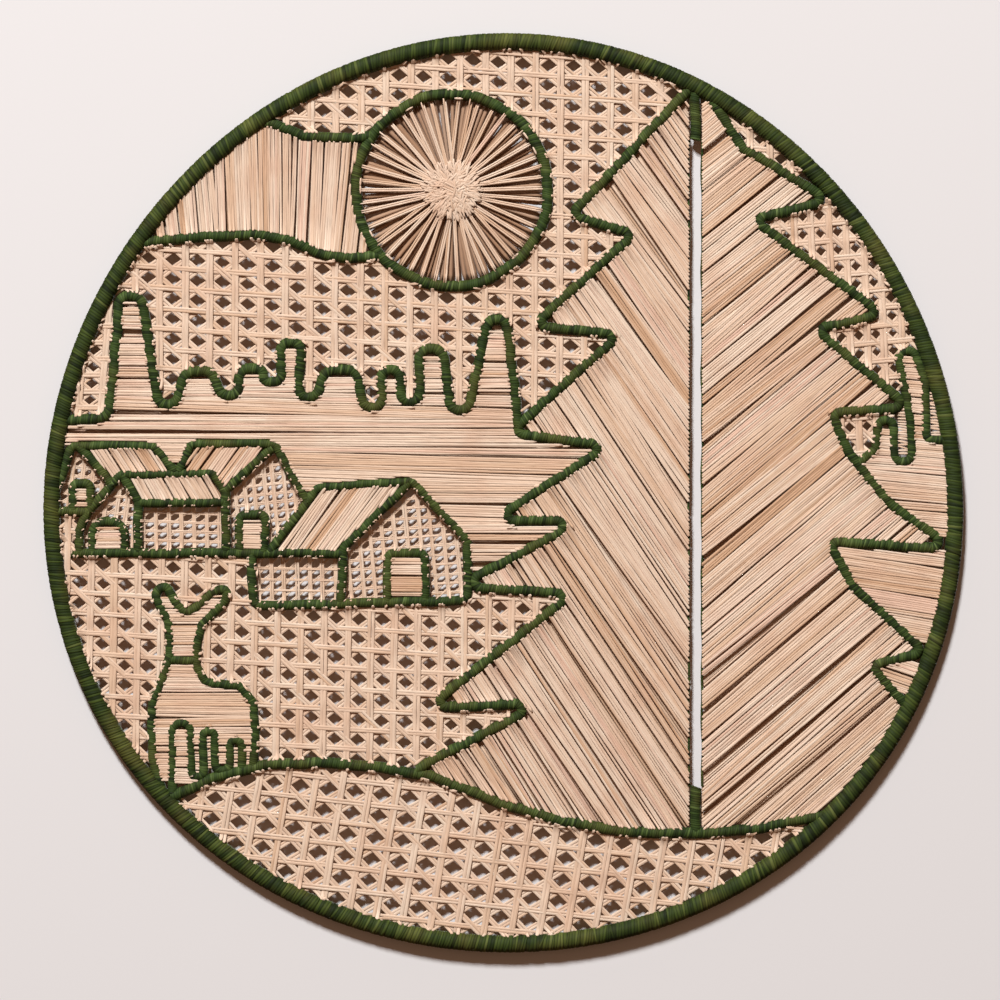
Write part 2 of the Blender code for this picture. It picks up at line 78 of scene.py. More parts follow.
TRUNK_U = 695
TRUNK_SPLIT_V = (141, 786)
TRUNK_FOOT_V = 833
TREE_LEFT = (
    (689, 94), (576, 215), (629, 236), (540, 324), (613, 337), (517, 431), (599, 448),
    (503, 518), (569, 523), (471, 584), (564, 596), (438, 704), (527, 706), (416, 769))
TREE_RIGHT = (
    (703, 99), (742, 149), (821, 201), (758, 221), (875, 314), (820, 331), (900, 405),
    (834, 415), (848, 454), (888, 503), (940, 545), (832, 544), (852, 586), (918, 651),
    (874, 666), (905, 707))
TREE_TIP_BEND = 6.5
GROUND = (
    (170, 796), (209, 779), (271, 763), (319, 762), (383, 767), (430, 775), (500, 802),
    (564, 821), (628, 831), (691, 833), (755, 828), (832, 815))
CLOUD_UPPER = ((258, 124), (272, 124), (303, 137), (353, 140), (371, 137))
CLOUD_LOWER = (
    (134, 243), (159, 242), (207, 237), (255, 235), (287, 240), (319, 254), (351, 259),
    (382, 255))
# Each hill is (middle, top, half width) and the dip after it is (middle, bottom)
HILLS = (
    (132, 297, 11), (199, 371, 13), (252, 369, 12), (291, 343, 10.5), (341, 371, 17),
    (391, 371, 9.5), (431, 350, 12))
DIPS = ((168, 405), (230, 396), (274, 382), (309, 398), (373, 408), (411, 402), (460, 410))
DIP_HALF_WIDTH = 9.5
HILL_START = ((52, 420), (110, 418))
HILL_END = ((488, 319), (506, 319), (519, 429))
FAR_HILLS = (
    (945, 440), (925, 440), (924, 385), (912, 350), (897, 352), (910, 420), (911, 462),
    (894, 462), (892, 421), (878, 421), (875, 450), (858, 463))
ANIMAL = (
    (163, 790), (154, 758), (152, 730), (154, 700), (164, 678), (171, 655), (169, 620),
    (155, 594), (166, 584), (177, 605), (187, 613), (198, 606), (213, 592), (228, 588),
    (226, 601), (202, 624), (198, 644), (197, 666), (206, 682), (240, 686), (254, 703),
    (256, 730), (254, 765))
LEGS = (
    (173, 796), (173, 723), (191, 723), (192, 776), (204, 776), (204, 731), (216, 731),
    (216, 770), (230, 770), (230, 740), (242, 740), (243, 770))


def place(u: float, v: float) -> Array:
    """A drawing point in metres from the middle of the disc.

    Args:
        u: Drawing units to the right.
        v: Drawing units down.

    Returns:
        The point as (across, up).
    """
    return np.array(((u - DRAWING_CENTRE[0]) * UNIT, (DRAWING_CENTRE[1] - v) * UNIT))


def rim_points(angles: Array) -> Array:
    """Points of the rim's centre line, a circle with the sway of hand bending.

    Args:
        angles: Angles from +X, in radians.

    Returns:
        One (across, up) row per angle.
    """
    sway = sum(
        share * np.cos(waves * angles + math.radians(phase))
        for waves, share, phase in RIM_SWAY)
    radius = RIM_RADIUS * (1 + sway)
    return np.stack([radius * np.cos(angles), radius * np.sin(angles)], axis=-1)


TOP_OF_RIM = float(rim_points(np.array([math.pi / 2]))[0, 1])


def to_row(flat: Array, depth: Array) -> Array:
    """Points of the picture in the row's frame.

    Args:
        flat: (across, up) rows from the middle of the disc.
        depth: Distance of each towards the viewer, from the middle plane of the disc.

    Returns:
        (x, y, z) rows in metres.
    """
    y = -RIM_WIRE_RADIUS - np.broadcast_to(depth, flat.shape[:-1])
    return np.stack([flat[..., 0], y, flat[..., 1] - TOP_OF_RIM], axis=-1)


def on_rim(point: Array) -> Array:
    """The point of the rim's centre line straight out from the middle through this one."""
    return rim_points(np.array([math.atan2(point[1], point[0])]))[0]


def unit(vector: Array) -> Array:
    """The vector at length one, along its last axis."""
    return vector / np.linalg.norm(vector, axis=-1, keepdims=True)


def left_of(heading: Array) -> Array:
    """A flat vector turned a quarter anticlockwise."""
    return np.array((-heading[1], heading[0]))


def turned(vector: Array, angle: float) -> Array:
    """A flat vector turned by an angle in radians, anticlockwise."""
    c, s = math.cos(angle), math.sin(angle)
    return np.array((vector[0] * c - vector[1] * s, vector[0] * s + vector[1] * c))


def heading_of(degrees: float) -> Array:
    """The flat unit vector at this angle from +X."""
    return turned(np.array((1.0, 0.0)), math.radians(degrees))


def extended(points: list[Array], bend: float) -> list[Array]:
    """Sharp corners moved out, so that an arc of this bend still reaches the given point."""
    sharp = math.radians(50)
    result = [points[0]]
    for before, corner, after in zip(points, points[1:], points[2:]):
        arm_a, arm_b = unit(before - corner), unit(after - corner)
        half = math.acos(float(np.clip(arm_a @ arm_b, -1, 1))) / 2
        if half < sharp:
            corner = corner - unit(arm_a + arm_b) * bend * (1 / math.sin(half) - 1)
        result.append(corner)
    return result + [points[-1]]


def rounded(points: list[Array], bend: float) -> Array:
    """An open path with each corner turned into an arc, as tight as its legs allow."""
    leg_share, arc_step, straight = 0.48, math.radians(9), math.radians(1)
    path = [points[0]]
    for before, corner, after in zip(points, points[1:], points[2:]):
        arm_a, arm_b = before - corner, after - corner
        len_a, len_b = np.linalg.norm(arm_a), np.linalg.norm(arm_b)
        turn = math.pi - math.acos(float(np.clip(arm_a @ arm_b / len_a / len_b, -1, 1)))
        if turn < straight:
            path.append(corner)
            continue
        reach = min(bend * math.tan(turn / 2), leg_share * len_a, leg_share * len_b)
        radius = reach / math.tan(turn / 2)
        side = 1 if arm_a[0] * arm_b[1] < arm_a[1] * arm_b[0] else -1
        spoke = turned(arm_a / len_a, side * math.pi / 2) * radius
        middle = corner + arm_a / len_a * reach - spoke
        steps = max(2, math.ceil(turn / arc_step))
        path += [middle + turned(spoke, side * turn * k / steps) for k in range(steps + 1)]
    return np.array(path + [points[-1]])


# Points closer than this count as one, and the reach over which a heading is averaged
SAME_POINT = 1e-7
HEADING_REACH = 0.0007


class Track:
    """A flat path that can be asked for points and headings by distance along it."""

    def __init__(self, points: Array, closed: bool = False) -> None:
        ring = np.vstack([points, points[:1]]) if closed else points
        steps = np.linalg.norm(np.diff(ring, axis=0), axis=1)
        apart = steps > SAME_POINT
        self.points = ring[np.concatenate([[True], apart])]
        self.along = np.concatenate([[0.0], np.cumsum(steps[apart])])
        self.closed = closed

    @property
    def length(self) -> float:
        """The path's length in metres."""
        return float(self.along[-1])

    def at(self, distance: Array) -> Array:
        """The points at these distances along the path."""
        where = np.mod(distance, self.length) if self.closed else distance
        return np.stack(
            [np.interp(where, self.along, self.points[:, axis]) for axis in (0, 1)], axis=-1)

    def heading(self, distance: Array, reach: float = HEADING_REACH) -> Array:
        """Unit vectors along the path, averaged over a short reach each way."""
        low, high = distance - reach, distance + reach
        if not self.closed:
            low, high = np.clip(low, 0, self.length), np.clip(high, 0, self.length)
        return unit(self.at(high) - self.at(low))


def linear(colour: str) -> tuple[float, float, float, float]:
    """An sRGB hex colour as the linear value that shaders take."""
    parts = [int(colour[i:i + 2], 16) / 255 for i in (1, 3, 5)]
    return tuple(
        part / 12.92 if part <= 0.04045 else ((part + 0.055) / 1.055) ** 2.4
        for part in parts) + (1.0,)


@dataclass(frozen=True)
class Finish:
    """The colours of one kind of palm strip.

    Attributes:
        name: Name of the real material.
        tones: Hex colours over which the strips are spread, in order.
        patch: Hex colour of the faded patches.
        patch_amount: Most of the patch colour that is mixed in.
        shade: Hex colour of the fibre lines, and of the painted shade in the hollows between
            turns and on the rays behind the sun.
        roughness: Roughness of the strip.
        sheen: How much the fibre glows at grazing angles.
        gloss: Level of the mirror-like part of its reflection.
    """

    name: str
    tones: tuple[str, ...]
    patch: str
    patch_amount: float
    shade: str
    roughness: float
    sheen: float
    gloss: float


GREEN_RIM = Finish(
    "olive green dyed palm winding",
    ("#1b260a", "#283611", "#374619", "#495822", "#616b35"), "#6c6a30", 0.55, "#0e150a",
    0.7, 0.02, 0.18)
GREEN_WIRE = Finish(
    "dark green dyed palm winding",
    ("#1f2b0f", "#2b3c16", "#3a4e20", "#4b5f2b", "#61743f"), "#62602b", 0.55, "#0c1608",
    0.7, 0.02, 0.18)
NATURAL = Finish(
    "natural palm strand",
    ("#d3aa87", "#e2c0a2", "#ebcdb3", "#f0d9c2", "#e6c1a9"), "#dcb396", 0.5, "#7a4f33",
    0.6, 0.1, 0.35)


class Shader:
    """The node tree of one material, built by one small function."""

    def __init__(self, name: str) -> None:
        self.material = bpy.data.materials.new(name)
        self.material.use_nodes = True
        self.tree = self.material.node_tree
        self.surface = self.tree.nodes["Principled BSDF"]

    def add(self, kind: str, settings: dict | None = None, **inputs: object) -> bpy.types.Node:
        """Adds a node with its settings, and inputs by name: a socket or a value."""
        node = self.tree.nodes.new(kind)
        for key, value in (settings or {}).items():
            setattr(node, key, value)
        for key, value in inputs.items():
            self.feed(node.inputs[key.replace("_", " ")], value)
        return node

    def feed(self, socket: Socket, value: object) -> None:
        """Links a socket into this one, or sets its value."""
        if isinstance(value, Socket):
            self.tree.links.new(value, socket)
        else:
            socket.default_value = value

    def blend(self, amount: object, under: object, over: object) -> Socket:
        """Two colours mixed by an amount from 0 to 1."""
        node = self.add("ShaderNodeMix", {"data_type": "RGBA"})
        for index, value in ((0, amount), (6, under), (7, over)):
            self.feed(node.inputs[index], value)
        return node.outputs[2]

    def scaled(self, value: object, low: float, high: float, top: float) -> Socket:
        """A value's stretch from low to high, as 0 to top."""
        node = self.add("ShaderNodeMapRange", From_Min=low, From_Max=high, To_Max=top)
        self.feed(node.inputs["Value"], value)
        return node.outputs["Result"]


# Palm: noise cycles per mm across a strip, per mm along it and per strip, then patches per m
FIBRE_SCALE = (3.2, 0.16, 1.7)
PATCH_SCALE = 55.0
FIBRE_RELIEF = 0.00012
# Most of the shade colour that fibre lines take, and most that the painted shade takes
FIBRE_SHADE = 0.38
GROOVE_SHADE = 0.6


def palm_material(finish: Finish) -> bpy.types.Material:
    """Palm strip: a tone for each strip, fibre lines along it, painted shade in hollows, pale
    patches.

    The strips carry the attributes "lay" (mm across, mm along, strip number), "tone" and
    "groove" (painted shade).

    Args:
        finish: The colours to use.

    Returns:
        The new material.
    """
    shader = Shader(finish.name)
    lay = shader.add("ShaderNodeAttribute", {"attribute_name": "lay"}).outputs["Vector"]
    tone = shader.add("ShaderNodeAttribute", {"attribute_name": "tone"}).outputs["Fac"]
    painted_shade = shader.add("ShaderNodeAttribute", {"attribute_name": "painted_shade"}).outputs["Fac"]
    ramp = shader.add("ShaderNodeValToRGB", Fac=tone)
    stops = ramp.color_ramp.elements
    stops[0].color = linear(finish.tones[0])
    stops[1].color = linear(finish.tones[-1])
    for index, tint in enumerate(finish.tones[1:-1], start=1):
        stops.new(index / (len(finish.tones) - 1)).color = linear(tint)
    # Fibre lines: fine across the strip and long along it, in mm
    fibre_lay = shader.add("ShaderNodeMapping", Scale=FIBRE_SCALE, Vector=lay)
    fibre = shader.add(
        "ShaderNodeTexNoise", Vector=fibre_lay.outputs["Vector"], Scale=1.0, Detail=3.0)
    # Patches about 18 mm across where the dye or the palm has weathered
    where = shader.add("ShaderNodeTexCoord").outputs["Object"]
    cloud = shader.add("ShaderNodeTexNoise", Vector=where, Scale=PATCH_SCALE, Detail=2.0)
    patched = shader.blend(
        shader.scaled(cloud.outputs["Fac"], 0.48, 0.70, finish.patch_amount),
        ramp.outputs["Color"], linear(finish.patch))
    lined = shader.blend(
        shader.scaled(fibre.outputs["Fac"], 0.50, 0.78, FIBRE_SHADE), patched,
        linear(finish.shade))
    # Painted shade: colour darkened towards the shade colour in the hollows between turns of
    # winding and on the sun's rays behind
    shaded = shader.blend(
        shader.scaled(painted_shade, 0.0, 1.0, GROOVE_SHADE), lined, linear(finish.shade))
    relief = shader.add(
        "ShaderNodeBump", Strength=0.35, Distance=FIBRE_RELIEF, Height=fibre.outputs["Fac"])
    shader.feed(shader.surface.inputs["Base Color"], shaded)
    shader.feed(shader.surface.inputs["Roughness"], finish.roughness)
    shader.feed(shader.surface.inputs["Sheen Weight"], finish.sheen)
    shader.feed(shader.surface.inputs["Specular IOR Level"], finish.gloss)
    shader.feed(shader.surface.inputs["Normal"], relief.outputs["Normal"])
    return shader.material


class Slot(Enum):
    """Slot names for the part's two kinds of palm."""

    GREEN = "green_palm"
    NATURAL = "natural_palm"


class StripMesh:
    """Collects rings of points into one mesh of strips, with what its material reads."""

    def __init__(self) -> None:
        self.points: list[Array] = []
        self.faces: list[Array] = []
        self.lays: list[Array] = []
        self.tones: list[Array] = []
        self.painted_shades: list[Array] = []
        self.count = 0

    def add(
        self, rings: Array, lay: Array, tone: Array, painted_shade: Array,
        closed: bool = False,
    ) -> None:
        """Adds one tube of quads.

        Args:
            rings: (ring, side, 3) points.
            lay: (ring, side, 3) values of "lay".
            tone: (ring, side) values of "tone".
            painted_shade: (ring, side) values of "groove".
            closed: Whether the last ring meets the first. Otherwise the ends get caps.
        """
        ring_count, sides = rings.shape[:2]
        index = np.arange(ring_count * sides).reshape(ring_count, sides) + self.count
        after = np.roll(index, -1, axis=0) if closed else index[1:]
        first = index if closed else index[:-1]
        quads = np.stack(
            [first, np.roll(first, -1, axis=1), np.roll(after, -1, axis=1), after], axis=-1)
        self.faces.append(quads.reshape(-1, 4))
        if not closed:
            for ring, order in ((index[0], -1), (index[-1], 1)):
                for low in range(1, sides // 2):
                    high = sides - low
                    cap = [ring[low - 1], ring[low], ring[high - 1], ring[high % sides]]
                    self.faces.append(np.array([cap[::order]]))
        self.points.append(rings.reshape(-1, 3))
        self.lays.append(lay.reshape(-1, 3))
        self.tones.append(np.broadcast_to(tone, rings.shape[:2]).reshape(-1))
        self.painted_shades.append(np.broadcast_to(painted_shade, rings.shape[:2]).reshape(-1))
        self.count += ring_count * sides

    def build(self, name: str, look: bpy.types.Material) -> bpy.types.Object:
        """The mesh as an object of this name, shaded smooth.

        Args:
            name: Name of the piece.
            look: Its material.

        Returns:
            The new object, in the row's frame.
        """
        mesh = bpy.data.meshes.new(name)
        faces = np.concatenate(self.faces)
        points = np.concatenate(self.points)
        mesh.vertices.add(len(points))
        mesh.vertices.foreach_set("co", points.astype(np.float32).reshape(-1))
        mesh.loops.add(faces.size)
        mesh.loops.foreach_set("vertex_index", faces.astype(np.int32).reshape(-1))
        mesh.polygons.add(len(faces))
        mesh.polygons.foreach_set("loop_start", np.arange(0, faces.size, 4, dtype=np.int32))
        mesh.update(calc_edges=True)
        mesh.polygons.foreach_set("use_smooth", np.ones(len(faces), bool))
        for key, kind, values in (
            ("lay", "FLOAT_VECTOR", self.lays), ("tone", "FLOAT", self.tones),
            ("painted_shade", "FLOAT", self.painted_shades),
        ):
            layer = mesh.attributes.new(key, kind, "POINT")
            flat = np.concatenate(values).astype(np.float32).reshape(-1)
            layer.data.foreach_set("vector" if kind == "FLOAT_VECTOR" else "value", flat)
        mesh.materials.append(look)
        obj = bpy.data.objects.new(name, mesh)
        bpy.context.scene.collection.objects.link(obj)
        return obj


def settle(obj: bpy.types.Object, slot: Slot, *nodes: str) -> None:
    """Hangs a piece on the part's one body, in place of these CAD nodes."""
    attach(obj, "root")
    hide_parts(*nodes)


# One turn of winding: (share of its width, share of the wire's radius, painted shade)
TURN_PROFILE = np.array((
    (0.02, 0.955, 1.0), (0.28, 0.992, 0.1), (0.58, 1.0, 0.0), (0.86, 0.98, 0.3)))
# Relative width of the turns, the spread of their radius, and mean and spread of their
# slant in degrees and of their tone
TURN_WIDTHS = (0.75, 1.3)
TURN_SWELL = 0.02
TURN_TILT = (11, 4.5)
TURN_TONE = (0.45, 0.24)
# Lengths of the two waves in which a wire strays, and how much of the most each takes
STRAY_WAVES = (0.045, 0.021)
STRAY_SHARES = (0.4, 1.0)
PHASES = (0, 6)


@dataclass
class Wire:
    """A wire of the picture, wound all along with a strip of green palm.

    Attributes:
        node: The CAD node that it stands for.
        track: Its centre line.
        radius: Its radius over the winding.
        turn: Width of one turn of the winding.
        sides: Number of points round it.
        stray: Most that each of two waves moves it sideways, as hand-bent wire strays.
    """

    node: str
    track: Track
    radius: float
    turn: float = 0.95 * MM
    sides: int = 12
    stray: float = 0.2 * MM

    def wind(self, rng: Rng) -> StripMesh:
        """The winding, as a ridged tube.

        Args:
            rng: Source of the small irregularities.

        Returns:
            The mesh.
        """
        profile = TURN_PROFILE
        count = max(3, round(self.track.length / self.turn))
        widths = rng.uniform(*TURN_WIDTHS, count)
        starts = np.concatenate([[0.0], np.cumsum(widths)])
        starts *= self.track.length / starts[-1]
        spans = np.diff(starts)
        distance = (starts[:-1, None] + spans[:, None] * profile[None, :, 0]).reshape(-1)
        swell = 1 - np.abs(rng.normal(0, TURN_SWELL, (count, 1)))
        size = self.radius * (swell * profile[None, :, 1]).reshape(-1)
        tilt = np.radians(rng.normal(*TURN_TILT, (count, 1))).repeat(len(profile), 1)
        along = self.track.heading(distance)
        across = along[:, ::-1] * np.array((1, -1))
        angle = math.tau * np.arange(self.sides) / self.sides
        # A strip is wound at a slant, so one side of it is further along than the other
        slant = -np.tan(tilt.reshape(-1))[:, None] * np.cos(angle)[None, :]
        drift = self.wander(distance, rng)
        flat = (
            (self.track.at(distance) + across * drift[:, None])[:, None, :]
            + across[:, None, :] * (size[:, None] * np.cos(angle))[..., None]
            + along[:, None, :] * (size[:, None] * slant)[..., None])
        rings = to_row(flat, size[:, None] * np.sin(angle)[None, :])
        tone = np.clip(rng.normal(*TURN_TONE, count), 0, 1).repeat(len(profile))[:, None]
        # Painted shade: each turn is darkened in colour where it dips into the hollow by the
        # next turn
        painted_shade = np.tile(profile[:, 2], count)[:, None]
        # Fibres of a winding strip run round the wire
        round_mm = angle[None, :] * self.radius / MM + np.zeros((len(distance), 1))
        lay = np.stack([
            distance[:, None] / MM + 0 * round_mm, round_mm,
            np.arange(count).repeat(len(profile))[:, None] + 0 * round_mm], axis=-1)
        mesh = StripMesh()
        mesh.add(rings, lay, tone, painted_shade, closed=self.track.closed)
        return mesh

    def wander(self, distance: Array, rng: Rng) -> Array:
        """How far the wire strays sideways at these distances, as hand-bent wire does."""
        waves = np.maximum(1, np.round(self.track.length / np.array(STRAY_WAVES)))
        return sum(
            rng.uniform(*STRAY_SHARES) * self.stray
            * np.sin(math.tau * count * distance / self.track.length + rng.uniform(*PHASES))
            for count in waves)


# Corners of a panel are welded on a grid this fine, and faces past this tilt are its front
WELD = 1e-5
FRONT_FACE = -0.5


class Outline:
    """The border of one field, read from the front of the CAD panel that fills it."""

    def __init__(self, node: str) -> None:
        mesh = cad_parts[node].data
        spots: dict[tuple[int, int, int], int] = {}
        ids = [
            spots.setdefault(tuple(round(c / WELD) for c in vert.co), len(spots))
            for vert in mesh.vertices]
        grid = np.array(list(spots)) * WELD
        ends: dict[tuple[int, int], int] = {}
        for face in mesh.polygons:
            if face.normal.y < FRONT_FACE:
                corners = [ids[i] for i in face.vertices]
                for pair in zip(corners, corners[1:] + corners[:1]):
                    ends[pair] = 1
        follow = {a: b for a, b in ends if (b, a) not in ends}
        loops = []
        while follow:
            start, here = follow.popitem()
            loop = [start]
            while here != start and here in follow:
                loop.append(here)
                here = follow.pop(here)
            loops.append(grid[loop][:, (0, 2)] + np.array((0, TOP_OF_RIM)))
        self.loop = max(loops, key=lambda loop: np.ptp(loop[:, 0]) * np.ptp(loop[:, 1]))
        self.edges = np.roll(self.loop, -1, axis=0) - self.loop
        self.middle = (self.loop.min(0) + self.loop.max(0)) / 2
        self.reach = float(np.linalg.norm(np.ptp(self.loop, axis=0))) / 2

    def stretches(self, point: Array, heading: Array) -> list[tuple[float, ...]]:
        """Where a line runs inside the border.

        Args:
            point: A point of the line.
            heading: Its unit vector.

        Returns:
            For each stretch its two ends as distances from the point, and the sine of the
            angle at which the line meets the border at each end.
        """
        normal = left_of(heading)
        away = (self.loop - point) @ normal
        beyond = np.roll(away, -1)
        hit = np.nonzero((away > 0) != (beyond > 0))[0]
        share = away[hit] / (away[hit] - beyond[hit])
        distance = (self.loop[hit] + self.edges[hit] * share[:, None] - point) @ heading
        sine = np.abs(unit(self.edges[hit]) @ normal)
        order = np.argsort(distance)
        found = [(distance[i], sine[i]) for i in order]
        return [
            (low, high, sine_low, sine_high)
            for (low, sine_low), (high, sine_high) in zip(found[::2], found[1::2])]


# Section of a strand, in half widths across it and half thicknesses to its round side
STRAND_SECTION = np.array((
    (-1.0, 0.0), (-0.76, 0.78), (0.0, 1.0), (0.76, 0.78), (1.0, 0.0), (0.0, -0.9)))
END_TAPER = 0.55
TONE_SPREAD = 0.13
# Shorter stretches stay empty. Where a border is met at a slant, the tuck grows, up to a limit
SHORTEST = 0.8 * MM
LOWEST_SINE = 0.35
TUCK = 1.25 * MM
SLOT_TUCK = 0.5 * MM
DEEP_TUCK = 1.0 * MM
# Some ends climb over the wire: the chance, how high, and how much of that before the end
CLIMB_CHANCE = 0.4
CLIMB = (1.55, 2.0)
CLIMB_BEFORE = 0.86
# A strand's bend sideways in mm, and the length of its wave in metres
SWAY = (0.05, 0.16)
SWAY_WAVES = (0.04, 0.12)


class Strands(StripMesh):
    """Ribbons of split palm, each a flat tube of its own."""

    def __init__(self, rng: Rng) -> None:
        super().__init__()
        self.rng = rng
        self.number = 0
        self.tone = 0.5
        self.painted_shade = 0.0

    def lay_down(
        self, flat: Array, depth: Array, width: float, thickness: float,
        facing: int = 1,
    ) -> None:
        """Lays one strand.

        Args:
            flat: (across, up) rows along its middle.
            depth: Distance of each towards the viewer.
            width: Its width.
            thickness: Its thickness.
            facing: 1 with its round side to the viewer, -1 to the wall.
        """
        heading = unit(np.gradient(flat, axis=0))
        across = np.stack([heading[:, 1], -heading[:, 0]], axis=-1)
        taper = np.ones(len(flat))
        taper[[0, -1]] = END_TAPER
        spread = STRAND_SECTION[:, 0] * width / 2
        lift = STRAND_SECTION[:, 1] * thickness / 2 * facing
        points = flat[:, None, :] + across[:, None, :] * (taper[:, None] * spread)[..., None]
        rings = to_row(points, depth[:, None] + taper[:, None] * lift)
        along = np.concatenate([[0.0], np.cumsum(np.linalg.norm(np.diff(flat, axis=0), axis=1))])
        self.number += 1
        lay = np.stack([
            (spread / MM)[None, :] + 0 * along[:, None],
            along[:, None] / MM + 0 * spread[None, :],
            np.full((len(along), len(spread)), float(self.number))], axis=-1)
        tone = np.clip(self.tone + self.rng.normal(0, TONE_SPREAD), 0, 1)
        self.add(rings, lay, np.array(tone), np.array(self.painted_shade))

    def run(
        self, outline: Outline, point: Array, heading: Array, width: float,
        thickness: float, depth: "Depth", step: float, facing: int = 1,
    ) -> None:
        """Lays a straight strand across a field, once for each stretch inside its border.

        Args:
            outline: The field.
            point: A point of the strand's line.
            heading: Its unit vector.
            width: Its width.
            thickness: Its thickness.
            depth: Its depth as a function of the distance from the point.
            step: Distance between its rings.
            facing: 1 with its round side to the viewer, -1 to the wall.
        """
        normal = left_of(heading)
        for low, high, sine_low, sine_high in outline.stretches(point, heading):
            if high - low < SHORTEST:
                continue
            rng = self.rng
            inner = np.linspace(low, high, max(3, math.ceil((high - low) / step) + 1))
            tuck = [
                self.tuck(point + heading * end) / max(sine, LOWEST_SINE)
                for end, sine in ((low, sine_low), (high, sine_high))]
            bite = rng.random(2) < CLIMB_CHANCE * (np.array(tuck) > DEEP_TUCK)
            distance = np.concatenate([
                [low - tuck[0], low - tuck[0] * END_TAPER], inner,
                [high + tuck[1] * END_TAPER, high + tuck[1]]])
            level = depth(distance)
            climb = rng.uniform(*CLIMB, 2) * MM * facing
            for end, near, bites in ((0, 1, bite[0]), (-1, -2, bite[1])):
                if bites:
                    level[near] = climb[end] * CLIMB_BEFORE
                    level[end] = climb[end]
            sway = rng.uniform(*SWAY) * MM * np.sin(
                distance * math.tau / rng.uniform(*SWAY_WAVES) + rng.uniform(*PHASES))
            flat = point + heading * distance[:, None] + normal * sway[:, None]
            self.lay_down(flat, level, width, thickness, facing)

    @staticmethod
    def tuck(end: Array) -> float:
        """How far a strand that meets the border here goes on into the wire."""
        beside_slot = abs(end[0] - place(TRUNK_U, 0)[0]) < TRUNK_SLOT
        return SLOT_TUCK if beside_slot else TUCK


@dataclass(frozen=True)
class Depth:
    """The depth of a strand along it.

    Attributes:
        level: Its middle depth.
        swing: Most that the weave moves it from there.
        wave: Half the length of that wave.
        phase: Phase of the wave, in radians.
    """

    level: float
    swing: float = 0.0
    wave: float = 1.0
    phase: float = 0.0

    def __call__(self, distance: Array) -> Array:
        """The depths at these distances along the strand."""
        return self.level + self.swing * np.cos(math.pi * distance / self.wave + self.phase)


# Slits between wires: for each field the (upper end, lower end, length of a straw)
SLITS = {
    "animal_leg_straw": (
        ((211, 737), (211, 767), 9), ((236, 748), (236, 768), 9), ((198, 752), (198, 774), 8),
        ((249, 752), (249, 768), 8)),
    "field_upper_straw": (
        ((902.5, 398), (902.5, 454), 12), ((932, 394), (936, 436), 12))}
# Straws: how thick and deep they lie, and the distance between a straw's rings
STRAW_THICKNESS = 0.34 * MM
STRAW_DEPTH = 1.05
STRAW_STEP = 11 * MM
STRAW_WIDTHS = (0.82, 1.16)
ROOF_STRAW = 1.15 * MM
# Degrees by which bundles and single straws lean, and the bundles' tones
BUNDLE_LEAN = 0.8
STRAW_LEAN = 0.13
BUNDLE_TONE = (0.47, 0.22)
# From a straw to the next, in widths, in front and behind, and the gap after a bundle
FRONT_ADVANCE = (0.78, 0.95)
BACK_ADVANCE = 0.8
BUNDLE_GAPS = (0.0, 0.2, 0.45, 0.8)
# Slit straws: width, how that varies, lean, depth and advance
SLIT_STRAW = 0.95 * MM
SLIT_WIDTHS = (0.8, 1.1)
SLIT_LEAN = 5
SLIT_DEPTH = 0.7 * MM
SLIT_ADVANCE = (1.0, 1.5)


@dataclass(frozen=True)
class StrawField:
    """A field of straws laid side by side over the front and the back.

    Attributes:
        node: The CAD node that it stands for.
        lie: Direction of the straws, in degrees from +X.
        fan: Degrees by which that grows from one side of the field to the other.
        straw: Width of one straw.
        bundle: Straws that lie together, at least and at most.
    """

    node: str
    lie: float
    fan: float = 0.0
    straw: float = 1.02 * MM
    bundle: tuple[int, int] = (2, 8)

    def weave(self, rng: Rng) -> Strands:
        """The straws of both layers."""
        outline = Outline(self.node)
        strands = Strands(rng)
        across = heading_of(self.lie + 90)
        for facing in (1, -1):
            offset = -outline.reach
            while offset < outline.reach:
                lean = rng.normal(0, BUNDLE_LEAN) if facing > 0 else 0.0
                strands.tone = rng.normal(*BUNDLE_TONE)
                for _ in range(rng.integers(*self.bundle)):
                    width = self.straw * rng.uniform(*STRAW_WIDTHS)
                    share = offset / outline.reach / 2
                    angle = self.lie + self.fan * share + lean + rng.normal(0, STRAW_LEAN)
                    strands.run(
                        outline, outline.middle + across * offset, heading_of(angle), width,
                        STRAW_THICKNESS,
                        Depth((STRAW_DEPTH + rng.uniform(-0.1, 0.1)) * MM * facing),
                        STRAW_STEP, facing)
                    offset += width * (
                        rng.uniform(*FRONT_ADVANCE) if facing > 0 else BACK_ADVANCE)
                if facing > 0:
                    offset += self.straw * rng.choice(BUNDLE_GAPS)
        for slit in SLITS.get(self.node, ()):
            self.fill_slit(strands, *slit)
        return strands

    def fill_slit(
        self, strands: Strands, top: Pair, foot: Pair,
        span: float,
    ) -> None:
        """Short straws across a slit that is too narrow for a panel of its own.

        Args:
            strands: Where they are added.
            top: Drawing point at the slit's upper end.
            foot: Drawing point at its lower end.
            span: Length of a straw in drawing units, with its ends in the wires.
        """
        start, end = place(*top), place(*foot)
        length = float(np.linalg.norm(end - start))
        distance = 0.0
        while distance < length:
            width = SLIT_STRAW * strands.rng.uniform(*SLIT_WIDTHS)
            middle = start + (end - start) * distance / length
            heading = heading_of(self.lie + strands.rng.normal(0, SLIT_LEAN))
            flat = middle + heading * np.linspace(-0.5, 0.5, 4)[:, None] * span * UNIT
            strands.lay_down(flat, np.full(4, SLIT_DEPTH), width, STRAW_THICKNESS)
            distance += width * strands.rng.uniform(*SLIT_ADVANCE)


@dataclass(frozen=True)
class Family:
    """One of the directions in which a lace is woven.

    Attributes:
        step: From a line to the next, in (columns, rows) of the mesh of the lace.
        run: Along a line, in the same.
        start: A point of the first line, in the same.
        strand: Width of one strand of the pair.
        level: Depth of the pair, before it swings.
        swing: How far it swings through the weave.
    """

    step: Pair
    run: Pair
    start: Pair
    strand: float
    level: float
    swing: float


